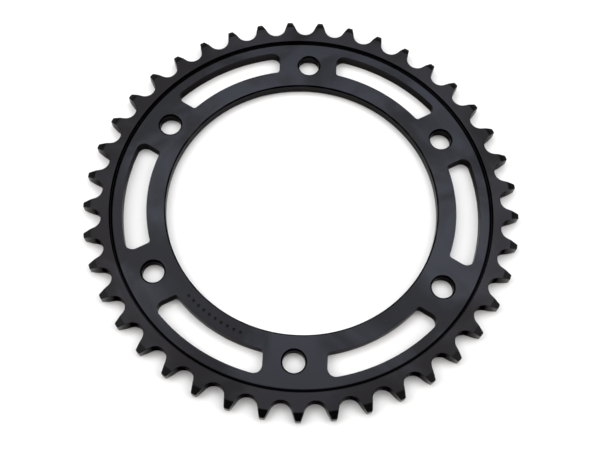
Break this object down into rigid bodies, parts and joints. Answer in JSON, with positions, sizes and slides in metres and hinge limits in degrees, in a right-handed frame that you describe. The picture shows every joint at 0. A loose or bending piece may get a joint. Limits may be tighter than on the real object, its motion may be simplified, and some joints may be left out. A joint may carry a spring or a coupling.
{
  "type": "rear sprocket",
  "caption": "Flat ring-shaped chain sprocket with bevelled teeth, a wide centre bore, chamfered bolt holes and curved slots between them.",
  "frame": {"origin": "centre of the bore on the hub face, the flat face that bolts against the wheel hub", "axes": "+Z along the wheel axle, from the hub towards the outer face; +Y through the middle of a bolt hole; lying flat on the hub face as in the picture"},
  "size_m": [0.2146, 0.2147, 0.0072],
  "materials": {
    "black_coating": "thin satin black coating on machined steel, slightly mottled, a little worn on the edges"
  },
  "bodies": {
    "root": {"sprocket": "black_coating"}
  },
  "joints": []
}
